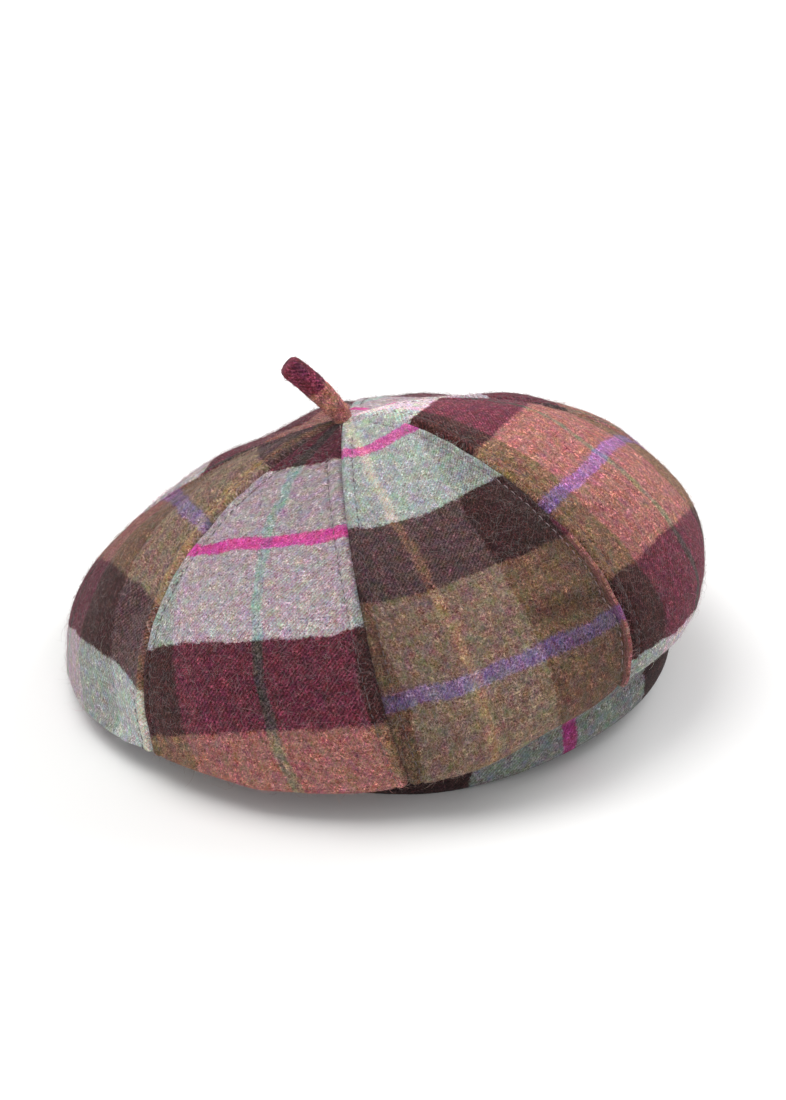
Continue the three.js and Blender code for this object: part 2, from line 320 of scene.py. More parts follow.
def smooth_point(u, t):
    """The crown without its puffs: a Bezier from the apex to the rim for t up to 1, a second from the rim
    to the headband's lip, and a straight lap over the headband's top after LAP_FROM."""
    u, t = np.broadcast_arrays(np.asarray(u, float), np.asarray(t, float))
    rim_height = catmull(HEIGHT, u)
    rim = CROWN_MIDDLE + directions(u) * catmull(REACH, u)[..., None] + UP * rim_height[..., None]
    run = (rim - APEX) * (1, 1, 0)
    length = np.linalg.norm(run, axis=-1, keepdims=True)
    outward = run / length
    sideways = np.stack([-outward[..., 1], outward[..., 0], 0 * outward[..., 0]], -1)
    slope = np.radians(catmull(SLOPE, u))[..., None]
    reach = length * catmull(LEAD, u)[..., None]
    leave = APEX + outward * reach * np.cos(slope) - UP * reach * np.sin(slope)
    leave = leave + sideways * catmull(SWING_TOP, u)[..., None]
    arrive = rim + UP * ((APEX[2] - rim_height) * catmull(SHOULDER, u))[..., None]
    arrive = arrive + sideways * catmull(SWING_RIM, u)[..., None]
    top = bezier(APEX + 0 * rim, leave, arrive, rim, np.clip(t, 0, 1))
    zero = 0 * u
    lip = band_point(u, zero + BAND_LIP, zero + BAND_HEIGHT + CLOTH_GAP)
    lap = band_point(u, zero - BAND_LAP, zero + BAND_HEIGHT + CLOTH_GAP)
    sink = rim - UP * catmull(DROP, u)[..., None]
    turn_in = (lip + rim) / 2
    turn_in[..., 2] = lip[..., 2] - UNDER_SAG
    under = bezier(rim, sink, turn_in, lip, np.clip((t - 1) / (LAP_FROM - 1), 0, 1))
    last = np.clip((t - LAP_FROM) / (2 - LAP_FROM), 0, 1)[..., None]
    under = np.where((t > LAP_FROM)[..., None], lip + (lap - lip) * last, under)
    return np.where((t <= 1)[..., None], top, under)


def smooth_normal(u, t):
    """Cross product of the smooth surface's steps along t and along u."""
    along = smooth_point(u, np.minimum(t + 0.01, 2)) - smooth_point(u, t - 0.01)
    around = smooth_point(u + 0.02, t) - smooth_point(u - 0.02, t)
    return unit(np.cross(along, around))


def seam_at(seam, t):
    """Seam count of a seam's line at t: its own number, moved by BACK times a smooth step of t."""
    return seam + BACK[seam % SEAM_COUNT] * smoothstep(t, BACK_FROM, BACK_FULL_AT)


def crown_point(gore, u, t, share=None):
    """The smooth surface moved away from the crown's hub by puff * (1 - (2s - 1)^2)^0.75, less the dents; s is
    the share of the way from one seam to the next. The puff grows from the apex as a power of a sine of t, and
    is lessened under the rim by a share of (t - 1)^2."""
    point = smooth_point(u, t)
    if share is None:
        start = seam_at(gore, t)
        share = (u - start) / (seam_at(gore + 1, t) - start)
    across = np.maximum(0, 1 - (2 * share - 1) ** 2) ** PUFF_POWER
    rise = np.sin(np.pi / 2 * np.clip(t / PUFF_FULL_AT, 0, 1)) ** PUFF_RISE_POWER
    fall = 1 - PUFF_LOSS_UNDER * np.maximum(t - 1, 0) ** 2
    depth = 0
    for at_u, at_t, wide, long, deep in DENTS:
        around = (u - at_u + SEAM_COUNT / 2) % SEAM_COUNT - SEAM_COUNT / 2
        depth = depth + deep * np.exp(-((around / wide) ** 2) - ((t - at_t) / long) ** 2)
    outward = unit(point - CROWN_MIDDLE - UP * HUB_HEIGHT)
    return point + outward * (GORES[gore]["puff"] * across * rise * fall - depth)[..., None]


def waves(x, y, z, seed, length):
    """Smooth noise, mostly between -1 and 1: a quarter of the sum of eight sine waves of about the given length
    in random directions."""
    draw = np.random.default_rng(seed)
    total = 0
    for _ in range(8):
        axis = unit(draw.normal(size=3)) * 2 * np.pi / length / draw.uniform(0.7, 1.4)
        total = total + np.sin(axis[0] * x + axis[1] * y + axis[2] * z + draw.uniform(0, 2 * np.pi))
    return total / 4


def cloth_lay(gore, across, along):
    """Place on the woven cloth of a point of a gore: its place on the cut plus low powers of that place."""
    p = across / LAY_HALF_WIDTH
    q = (np.clip(along, 0, LAY_END) - LAY_HALF_LENGTH) / LAY_HALF_LENGTH
    c = GORES[gore]["weft"]
    weft = along + c[0] + c[1] * p + c[2] * p**2 + c[3] * p**3 + c[4] * q + c[5] * p * q + c[6] * q**2
    weft = weft + c[7] * p**2 * q
    c = GORES[gore]["warp"]
    warp = across + c[0] + c[1] * q + c[2] * q**2 + c[3] * q**3 + c[4] * p + c[5] * p * q
    return warp, weft


def gore_grid(gore, sizes):
    """Grid of a gore: rows from apex to headband, columns close together beside its two seams."""
    t_top = np.linspace(APEX_START, 1, TOP_ROWS)
    t_under = np.linspace(1, 2, UNDER_ROWS)[1:]
    t = np.concatenate([t_top, t_under])
    share = np.linspace(0, 1, MEASURE_COLUMNS)[None, :] + 0 * t[:, None]
    t_grid = t[:, None] + 0 * share
    start, end = (seam_at(seam, t)[:, None] for seam in (gore, gore + 1))
    section = crown_point(gore, start + share * (end - start), t_grid)
    width = np.linalg.norm(np.diff(section, axis=1), axis=2).sum(1)
    # The cloth is laid on the gore as it was before its seams were moved back
    cut = crown_point(gore, gore + share, t_grid, share)
    cut_width = np.linalg.norm(np.diff(cut, axis=1), axis=2).sum(1)[:, None]
    along = running_length(cut[:, MEASURE_COLUMNS // 2])
    along = along - np.interp(GORE_MEASURE_FROM, t, along)
    edge = np.minimum(sizes.edge_zone, EDGE_ZONE_SHARE * width)[:, None]
    fine, coarse = EDGE_COLUMNS, MIDDLE_COLUMNS
    column = np.arange(2 * fine + coarse + 1)[None, :]
    width = width[:, None]
    distance = np.where(
        column <= fine,
        edge * column / fine,
        edge + (width - 2 * edge) * (column - fine) / coarse,
    )
    distance = np.where(column >= fine + coarse, width - edge * (2 * fine + coarse - column) / fine, distance)
    u = start + distance / width * (end - start)
    across = (u - gore - 0.5) * cut_width
    flat = 0 * distance
    return t[:, None] + flat, u, distance, width + flat, along[:, None] + flat, across


def crease_relief(gore, across, along):
    """Sum of the gore's creases: depth * exp(-(run / length)^2 - (off / width)^2) below the surface, run and
    off being the way along the crease's slanting line and the distance from it."""
    height = 0 * across
    for row, at_across, at_along, slope, long, wide, depth in CREASES:
        if row == gore:
            run = across - at_across
            off = (along - at_along - slope * run) / math.hypot(1, slope)
            height = height - depth * np.exp(-((run * math.hypot(1, slope) / long) ** 2) - (off / wide) ** 2)
    return height


def seam_relief(gore, distance, width, along, point, sizes):
    """Height of the cloth over its smooth form: a valley at each seam, a padded ridge beside it, a stitched
    groove with a pucker per stitch, and slack waves between."""
    narrow = smoothstep(width, *NARROW_GORE)
    place = point[..., 0], point[..., 1], point[..., 2]
    height = 0
    for side in (0, 1):
        s = distance if side == 0 else width - distance
        valley = -sizes.seam_depth * np.exp(-((s / VALLEY_WIDTH) ** 2))
        ridge = sizes.ridge_height * np.exp(-(((s - RIDGE_AT * sizes.stitch_offset) / RIDGE_WIDTH) ** 2))
        pucker = 1 - PUCKER_SHARE + PUCKER_SHARE * np.cos(2 * np.pi * along / sizes.stitch_pitch)
        groove = -sizes.groove_depth * pucker * np.exp(-(((s - sizes.stitch_offset) / GROOVE_WIDTH) ** 2))
        drawn = waves(*place, SEAM_SEED + gore, 11.0)
        drawn = sizes.seam_pucker * drawn * np.exp(-((s / DRAWN_WIDTH) ** 2))
        height = height + narrow * (valley + ridge + groove + drawn)
    if gore == ROLLED_GORE:
        s = width - distance
        rolled = sizes.roll_height * np.exp(-(((s - ROLL_AT) / ROLL_WIDTH) ** 2))
        rolled = rolled - ROLL_GROOVE_DEPTH * np.exp(-(((s - ROLL_GROOVE_AT) / ROLL_GROOVE_WIDTH) ** 2))
        height = height + smoothstep(along, *ROLL_RISES) * rolled
    slack = waves(*place, SLACK_SEED, 46.0)
    small = waves(*place, FINE_SLACK_SEED, 17.0)
    rest = smoothstep(np.minimum(distance, width - distance), *SLACK_FADE)
    return height + rest * (sizes.slack * slack + FINE_SLACK * sizes.slack * small)


def add_shades(mesh, shades):
    """Stores at each vertex a multiplier of the cloth's colour, which holds painted light and shade."""
    layer = mesh.attributes.new("shade", "FLOAT", "POINT")
    layer.data.foreach_set("value", np.asarray(shades, dtype=np.float32).ravel())


def mesh_object(name, vertices, faces, places, materials, face_materials=None):
    """Mesh piece from arrays: vertices in millimetres of the working frame, quads or triangles, and the
    cloth place and shade of each vertex."""
    mesh = bpy.data.meshes.new(name)
    vertices = (np.asarray(vertices, float) + working_shift()) * MM
    faces = np.asarray(faces, dtype=np.int32)
    corners = faces.shape[1]
    mesh.vertices.add(len(vertices))
    mesh.vertices.foreach_set("co", vertices.astype(np.float32).ravel())
    mesh.loops.add(faces.size)
    mesh.loops.foreach_set("vertex_index", faces.ravel())
    mesh.polygons.add(len(faces))
    mesh.polygons.foreach_set("loop_start", np.arange(0, faces.size, corners, dtype=np.int32))
    mesh.polygons.foreach_set("use_smooth", np.ones(len(faces), dtype=bool))
    if places is not None:
        places = np.asarray(places, dtype=np.float32)
        layer = mesh.uv_layers.new(name="cloth")
        layer.data.foreach_set("uv", (places[faces.ravel(), :2] * MM).ravel())
        add_shades(mesh, places[:, 2])
    for material in materials:
        mesh.materials.append(material)
    if face_materials is not None:
        mesh.polygons.foreach_set("material_index", np.asarray(face_materials, dtype=np.int32))
    mesh.update(calc_edges=True)
    mesh.validate()
    piece = bpy.data.objects.new(name, mesh)
    bpy.context.scene.collection.objects.link(piece)
    return piece


def working_shift():
    """From the working frame to the part's frame: the solid headband's middle less the working one."""
    low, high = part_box("headband")
    middle = (np.array(low) + np.array(high)) / 2 / MM
    return (middle - BAND_MIDDLE) * (1, 1, 0)


def grid_faces(rows, columns, start=0, flip=False):
    """Quads of a grid whose points are numbered row by row."""
    index = start + np.arange(rows * columns).reshape(rows, columns)
    a, b, c, d = index[:-1, :-1], index[1:, :-1], index[1:, 1:], index[:-1, 1:]
    order = (a, d, c, b) if flip else (a, b, c, d)
    return np.stack(order, -1).reshape(-1, 4)


def cell_quads(index):
    """Quads between the neighbouring numbers of a grid, a row's own neighbour first."""
    return np.stack([index[:-1, :-1], index[:-1, 1:], index[1:, 1:], index[1:, :-1]], -1).reshape(-1, 4)


def shell_edge_faces(rows, columns, behind):
    """Quads round the rim between a grid's front and the same grid behind it."""
    index = np.arange(rows * columns).reshape(rows, columns)
    rim = np.concatenate([index[:-1, 0], index[-1, :-1], index[:0:-1, -1], index[0, :0:-1]])
    following = np.roll(rim, -1)
    return np.stack([following, rim, rim + behind, following + behind], -1)


def gore_surface(gore, sizes):
    """Outer points of a gore with its relief, their normals, cloth places and grid measures."""
    t, u, distance, width, along, across = gore_grid(gore, sizes)
    base = crown_point(gore, u, t)
    normal = smooth_normal(u, t)
    crease = crease_relief(gore, across, along)
    relief = seam_relief(gore, distance, width, along, base, sizes) + crease
    relief = relief * (1 - smoothstep(t, *RELIEF_FADE))
    warp, weft = cloth_lay(gore, across, along)
    rolled = 0 * along
    if gore == ROLLED_GORE:
        rolled = smoothstep(distance - width, *ROLL_EDGE) * smoothstep(along, *ROLL_STARTS)
    warp = warp + ROLLED_WARP * rolled
    p = np.clip(across / LAY_HALF_WIDTH, -1, 1)
    q = (np.clip(along, 0, LAY_END) - LAY_HALF_LENGTH) / LAY_HALF_LENGTH
    # The shade multiplies the cloth's colour: painted light and shade for the light on each part of the gore, the
    # rolled edge's lighter cloth, and painted shade in the creases.
    level, lower, beside = GORES[gore]["shade"]
    shade = level * np.exp(lower * q + beside * p**2 + ROLLED_SHADE * rolled + CREASE_PAINTED_SHADE * crease)
    places = np.stack([warp, weft, shade], -1)
    return {
        "points": base + normal * relief[..., None],
        "base": base,
        "normals": normal,
        "places": places,
        "distance": distance,
        "width": width,
        "along": along,
        "t": t,
    }


def crown_surfaces(sizes):
    """Surfaces of all gores."""
    return [gore_surface(gore, sizes) for gore in range(SEAM_COUNT)]


def cloth_thickness(t, sizes):
    """The cloth is thinned where it is folded under at the rim: 1 - share * exp(-((t - at) / spread)^2)."""
    return sizes.cloth * (1 - FOLD_THINNING * np.exp(-(((t - FOLD_AT) / FOLD_SPREAD) ** 2)))


def make_gore(gore, sizes, material):
    """A gore as a thin closed shell: the outer grid with relief, and the plain grid one cloth behind it."""
    surface = gore_surface(gore, sizes)
    rows, columns = surface["t"].shape
    inner = surface["base"] - surface["normals"] * cloth_thickness(surface["t"], sizes)[..., None]
    vertices = np.concatenate([surface["points"].reshape(-1, 3), inner.reshape(-1, 3)])
    places = np.concatenate([surface["places"].reshape(-1, 3)] * 2)
    count = rows * columns
    sheets = grid_faces(rows, columns), grid_faces(rows, columns, count, flip=True)
    faces = np.concatenate([*sheets, shell_edge_faces(rows, columns, count)])
    row = GORES[gore]
    piece = mesh_object("gore_" + row["name"], vertices, faces, places, [material])
    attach(piece, "root")
    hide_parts("crown_panel_" + row["name"])
    return piece


# Section of the headband from its outer top edge down, under and up inside: outward and upward
BAND_SECTION = (
    (-1.3, 24.0), (-0.55, 23.85), (0.0, 23.2), (0.55, 21.8), (0.85, 19.6), (0.95, 17.4),
    (0.85, 15.2), (0.55, 13.6), (0.2, 12.6), (-0.15, 12.0), (0.2, 11.4), (0.55, 10.4),
    (0.9, 8.8), (1.0, 6.4), (0.9, 4.0), (0.6, 2.0), (0.1, 0.7), (-0.6, 0.05),
    (-1.6, 0.0), (-2.5, 0.1), (-3.1, 0.8), (-3.2, 2.5), (-3.2, 7.0), (-3.2, 12.0),
    (-3.2, 17.0), (-3.2, 21.5), (-3.0, 23.3), (-2.3, 23.95),
)


def make_headband(sizes, material):
    """A closed ring: the section table swept round the oval, with slack waves along it."""
    steps = BAND_STEPS
    section = np.array(BAND_SECTION)
    u = np.linspace(0, SEAM_COUNT, steps, endpoint=False)[:, None] + 0 * section[None, :, 0]
    out = section[None, :, 0] + 0 * u
    up = section[None, :, 1] + 0 * u
    place = band_point(u, out, up)
    wave = waves(place[..., 0], place[..., 1], 0.4 * place[..., 2], BAND_SEED, 34.0)
    inside = smoothstep(up, 0.5, 5) * (1 - smoothstep(up, 20, 23.5)) * (out > -2)
    out = out + 0.45 * sizes.slack * wave * inside
    place = band_point(u, out, up)
    ring = place[:, 12]
    around = running_length(ring)
    total = around[-1] + np.linalg.norm(ring[0] - ring[-1])
    repeats = round(total / WEFT_REPEAT)
    weft = around / total * repeats * WEFT_REPEAT
    front = np.interp(sizes.band_pink_at, np.linspace(0, SEAM_COUNT, steps), weft)
    depth = running_length(section)
    # The ring's first section is repeated at its end, so that the cloth place runs on without a jump
    rows = steps + 1
    columns = len(section) + 1
    wrap = np.arange(rows) % steps
    across = np.arange(columns) % len(section)
    band_warp = sizes.band_warp + np.concatenate([depth, [depth[-1] + 1]])[None, :]
    band_weft = (np.arange(rows) / steps * repeats * WEFT_REPEAT - front)[:, None]
    places = np.stack(np.broadcast_arrays(band_warp, band_weft), -1)
    index = (wrap[:, None] * len(section) + across[None, :]).astype(np.int64)
    corners = cell_quads(np.arange(rows * columns).reshape(rows, columns))
    piece = mesh_object("headband_cloth", place.reshape(-1, 3), cell_quads(index), None, [material])
    # The band's cloth gets painted shade: its colour is darkened for the shadow under the crown.
    add_shades(piece.data, np.full(place[..., 0].size, sizes.band_painted_shade))
    layer = piece.data.uv_layers.new(name="cloth")
    layer.data.foreach_set("uv", (places.reshape(-1, 2)[corners.ravel()] * MM).astype(np.float32).ravel())
    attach(piece, "root")
    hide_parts("headband")
    return piece


# Stalk: path from the apex, and its thickness along its length
STALK_PATH = ((0.0, 0.0, -2.5), (-1.5, 0.0, 4.0), (-10.0, 0.0, 12.0), (-20.0, 0.0, 21.0))
STALK_SECTIONS = (
    (0.0, 3.7),
    (0.08, 3.35),
    (0.2, 3.4),
    (0.38, 4.0),
    (0.6, 4.4),
    (0.85, 4.4),
    (0.95, 4.25),
    (0.985, 3.9),
    (1.0, 3.3),
)


def make_stalk(sizes, material):
    """A tube round a Bezier path: rings of the table's radius with a sewn groove along it and soft lumps,
    and a domed end."""
    rings, sides = STALK_RINGS, STALK_SIDES
    path = [APEX + np.array(offset) for offset in STALK_PATH]
    share = np.linspace(0, 1, rings)
    centre = bezier(*[p[None, :] for p in path], share)
    ahead = bezier(*[p[None, :] for p in path], np.minimum(share + 0.01, 1))
    behind = bezier(*[p[None, :] for p in path], np.maximum(share - 0.01, 0))
    tangent = unit(ahead - behind)
    side_axis = np.array((0.0, 1.0, 0.0)) + 0 * tangent
    up_axis = unit(np.cross(tangent, side_axis))
    table = np.array(STALK_SECTIONS)
    radius = np.interp(share, table[:, 0], table[:, 1])
    angle = np.linspace(0, 2 * np.pi, sides, endpoint=False)[None, :]
    groove_at = math.radians(sizes.stalk_groove)
    turn = np.angle(np.exp(1j * (angle - groove_at)))
    out = radius[:, None] * (1 - 0.1 * np.exp(-((turn / 0.16) ** 2)))
    ring_place = (share[:, None] * sizes.stalk_length, 4 * np.cos(angle), 4 * np.sin(angle))
    out = out + 0.25 * waves(*ring_place, STALK_SEED, 9.0) + 0.1 * waves(*ring_place, STALK_FINE_SEED, 2.6)
    radial = np.cos(angle)[..., None] * side_axis[:, None] + np.sin(angle)[..., None] * up_axis[:, None]
    points = centre[:, None] + out[..., None] * radial
    tip_share = np.array((0.6, 0.28))
    tip_lift = np.array((0.3, 0.4))
    cap = centre[-1] + (points[-1] - centre[-1])[None] * tip_share[:, None, None]
    cap = cap + tangent[-1] * tip_lift[:, None, None]
    points = np.concatenate([points, cap])
    rows = len(points)
    foot = centre[0]
    tip = centre[-1] + tangent[-1] * 0.42
    vertices = np.concatenate([points.reshape(-1, 3), [foot, tip]])
    index = np.arange(rows * sides).reshape(rows, sides)
    beside = np.roll(index, -1, axis=1)
    body = np.stack([index[:-1], beside[:-1], beside[1:], index[1:]], -1).reshape(-1, 4)
    triangles = np.concatenate(
        [
            np.stack([body[:, 0], body[:, 1], body[:, 2]], -1),
            np.stack([body[:, 0], body[:, 2], body[:, 3]], -1),
            np.stack([beside[0], index[0], np.full(sides, rows * sides)], -1),
            np.stack([index[-1], beside[-1], np.full(sides, rows * sides + 1)], -1),
        ]
    )
    share_all = np.concatenate([share, [1.0, 1.0]])
    strip = smoothstep(np.cos(turn), 0.5, 0.56) * np.ones((rows, 1))
    weft = DARK_WEFT_FROM + (share_all[:, None] - sizes.stalk_dark_from) * sizes.stalk_length + 20 * strip
    warp = sizes.stalk_warp + 3.5 * turn + 0 * weft
    grid = np.stack([warp, weft, 0 * weft + sizes.stalk_shade], -1)
    places = grid.reshape(-1, 3)
    places = np.concatenate([places, [places[0], places[-1]]])
    piece = mesh_object("stalk_cloth", vertices, triangles, places, [material])
    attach(piece, "root")
    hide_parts("stalk")
    return {"points": points[:rings], "normals": radial, "places": grid[:rings], "hairy": 1.6}


def stitch_line(surface, side, sizes):
    """Points and normals of the line beside a seam at the stitch offset, one per grid row that is wide enough."""
    s = surface["distance"] if side == 0 else surface["width"] - surface["distance"]
    rows = np.flatnonzero((surface["width"][:, 0] > STITCH_MIN_WIDTH) & (surface["t"][:, 0] < STITCHES_TO))
    step = 1 if side == 0 else -1
    order, points, normals = (grid[rows][:, ::step] for grid in (s, surface["points"], surface["normals"]))
    after = (order > sizes.stitch_offset).argmax(1)
    before = after - 1
    line = np.arange(len(rows))
    share = (sizes.stitch_offset - order[line, before]) / (order[line, after] - order[line, before])
    share = share[:, None]
    mixed = [grid[line, before] * (1 - share) + grid[line, after] * share for grid in (points, normals)]
    return mixed[0], unit(mixed[1])


def resample(points, extras, step):
    """A polyline at equal steps of its length."""
    length = running_length(points)
    at = np.arange(step, length[-1] - step, step)
    return [np.stack([np.interp(at, length, g[:, k]) for k in range(g.shape[1])], -1) for g in (points, *extras)]


# Gore and side whose stitches are sewn in the pale thread
PALE_STITCHES = (0, 1)


def make_stitches(surfaces, sizes, materials):
    """Topstitching as one mesh: for each stitch a short bent capsule, rings round an arched line that sinks into
    the cloth at both ends. A ring's radius is the thread's times the square root of 1 - s^4, s from -1 to 1."""
    centres, tangents, normals, pale = [], [], [], []
    for gore, surface in enumerate(surfaces):
        for side in (0, 1):
            line, normal = stitch_line(surface, side, sizes)
            middle, upward = resample(line, [normal], sizes.stitch_pitch)
            tangent = unit(np.gradient(middle, axis=0))
            centres.append(middle)
            tangents.append(tangent)
            normals.append(unit(upward))
            pale.append(np.full(len(middle), int((gore, side) == PALE_STITCHES)))
    centre, tangent, normal, pale = (np.concatenate(x) for x in (centres, tangents, normals, pale))
    draw = np.random.default_rng(STITCH_SEED)
    count = len(centre)
    sideways = unit(np.cross(tangent, normal))
    tilt = draw.normal(0, 0.1, (count, 1))
    tangent = unit(tangent + sideways * tilt)
    sideways = unit(np.cross(tangent, normal))
    length = sizes.stitch_length * draw.uniform(0.85, 1.1, (count, 1, 1, 1))
    rise = draw.uniform(-0.05, 0.1, (count, 1, 1, 1))
    rings, sides = 7, 6
    along = np.linspace(-1, 1, rings)[None, :, None, None]
    angle = np.linspace(0, 2 * np.pi, sides, endpoint=False)[None, None, :, None]
    thick = sizes.thread_radius * np.sqrt(np.maximum(1 - along**4, 0.02))
    spine = centre[:, None, None] + tangent[:, None, None] * along * length / 2
    spine = spine + normal[:, None, None] * (rise + 0.38 * (1 - along**2) - 0.18)
    ring = sideways[:, None, None] * np.cos(angle) + normal[:, None, None] * np.sin(angle)
    points = spine + ring * thick
    index = np.arange(count * rings * sides).reshape(count, rings, sides)
    beside = np.roll(index, -1, axis=2)
    quads = np.stack([index[:, :-1], index[:, 1:], beside[:, 1:], beside[:, :-1]], -1).reshape(-1, 4)
    caps = [index[:, 0][:, corners] for corners in ([0, 1, 2, 3], [0, 3, 4, 5])]
    caps = caps + [index[:, -1][:, corners] for corners in ([3, 2, 1, 0], [5, 4, 3, 0])]
    thread = np.concatenate([np.repeat(pale, (rings - 1) * sides), np.tile(pale, 4)])
    faces = np.concatenate([quads, *caps])
    piece = mesh_object("topstitching", points.reshape(-1, 3), faces, None, materials, thread)
    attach(piece, "root")
    return piece


def scatter(surface, density, draw):
    """Random points of a grid surface, evenly by area: their places, normals and cloth places, mixed from the
    corners of the grid cell they fall in."""
    points = surface["points"]
    area = cell_areas(points)
    if "t" in surface:
        area = area * (surface["t"][:-1, :-1] < FIBRES_TO)
    count = int(area.sum() * density)
    row, column = np.unravel_index(draw.choice(area.size, count, p=area.ravel() / area.sum()), area.shape)
    mix_row, mix_column = draw.uniform(0, 1, (2, count, 1))
    mixed = []
    for grid in (points, surface["normals"], surface["places"]):
        near = grid[row, column] * (1 - mix_column) + grid[row, column + 1] * mix_column
        far = grid[row + 1, column] * (1 - mix_column) + grid[row + 1, column + 1] * mix_column
        mixed.append(near * (1 - mix_row) + far * mix_row)
    return mixed


def make_fibres(name, surface, sizes, material):
    """Loose wool ends as one mesh of narrow curled ribbons: each starts on the cloth, arches over it and
    curls sideways by a sine of its length."""
    draw = np.random.default_rng(FIBRE_SEED + len(name))
    root, normal, place = scatter(surface, sizes.fibre_density * surface.get("hairy", 1.0), draw)
    normal = unit(normal)
    count = len(root)
    tangent = unit(np.cross(normal, draw.normal(size=(count, 3))))
    sideways = np.cross(normal, tangent)
    length = draw.gamma(3.0, sizes.fibre_length / 3.0, (count, 1, 1))
    length = np.clip(length, 0.8, 3.2 * sizes.fibre_length)
    height = length * draw.uniform(0.04, 0.3, (count, 1, 1))
    curl = length * draw.uniform(-0.35, 0.35, (count, 1, 1))
    phase = draw.uniform(1.5, 5.0, (count, 1, 1))
    joints = 5
    s = np.linspace(0, 1, joints)[None, :, None]
    spine = root[:, None] + tangent[:, None] * length * s
    spine = spine + normal[:, None] * (height * np.sin(np.pi * s * 0.85) + 0.05)
    spine = spine + sideways[:, None] * curl * np.sin(phase * s)
    run = unit(np.gradient(spine, axis=1))
    flat = unit(np.cross(run, normal[:, None] + 0.6 * draw.normal(size=(count, 1, 3))))
    half = sizes.fibre_radius * (1 - 0.75 * s)
    points = np.stack([spine - flat * half, spine + flat * half], 2)
    index = np.arange(count * joints * 2).reshape(count, joints, 2)
    quads = np.stack([index[:, :-1, 0], index[:, :-1, 1], index[:, 1:, 1], index[:, 1:, 0]], -1).reshape(-1, 4)
    spread = np.repeat(place, joints * 2, axis=0)
    piece = mesh_object("wool_ends_" + name, points.reshape(-1, 3), quads, spread, [material])
    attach(piece, "root")
    return piece


def node(tree, kind, inputs=None, **settings):
    """A shader node with its settings and its input constants or links."""
    made = tree.nodes.new(kind)
    for key, value in settings.items():
        setattr(made, key, value)
    for key, value in (inputs or {}).items():
        if isinstance(value, bpy.types.NodeSocket):
            tree.links.new(value, made.inputs[key])
        else:
            made.inputs[key].default_value = value
    return made


def math_node(tree, operation, a, b=0.0):
    """Output of a Math node of two values or sockets."""
    return node(tree, "ShaderNodeMath", {0: a, 1: b}, operation=operation).outputs[0]


def vector_node(tree, operation, a, b=(0.0, 0.0, 0.0)):
    """Output of a Vector Math node of two vectors or sockets."""
    return node(tree, "ShaderNodeVectorMath", {0: a, 1: b}, operation=operation).outputs[0]


def scale_node(tree, vector, amount):
    """Output of a Vector Math node that multiplies a vector by an amount."""
    return node(tree, "ShaderNodeVectorMath", {0: vector, "Scale": amount}, operation="SCALE").outputs[0]


def yarn_ramp(tree, place, order, repeat):
    """Colour of the yarn group at a place: a ramp over one repeat of its order, blended over a blur's width
    where one group meets the next."""
    share = math_node(tree, "FRACT", math_node(tree, "DIVIDE", place, repeat * MM))
    made = node(tree, "ShaderNodeValToRGB", {"Fac": share})
    ramp = made.color_ramp
    stops = [(0.0, order[0][0])]
    for (before, _), (after, start) in zip(order, order[1:]):
        stops = stops + [((start - EDGE_BLUR) / repeat, before), ((start + EDGE_BLUR) / repeat, after)]
    while len(ramp.elements) < len(stops):
        ramp.elements.new(0.5)
    for element, (position, yarn) in zip(ramp.elements, stops):
        element.position = position
        element.color = (*YARN_SHARES[yarn], 1.0)
    return made.outputs["Color"]


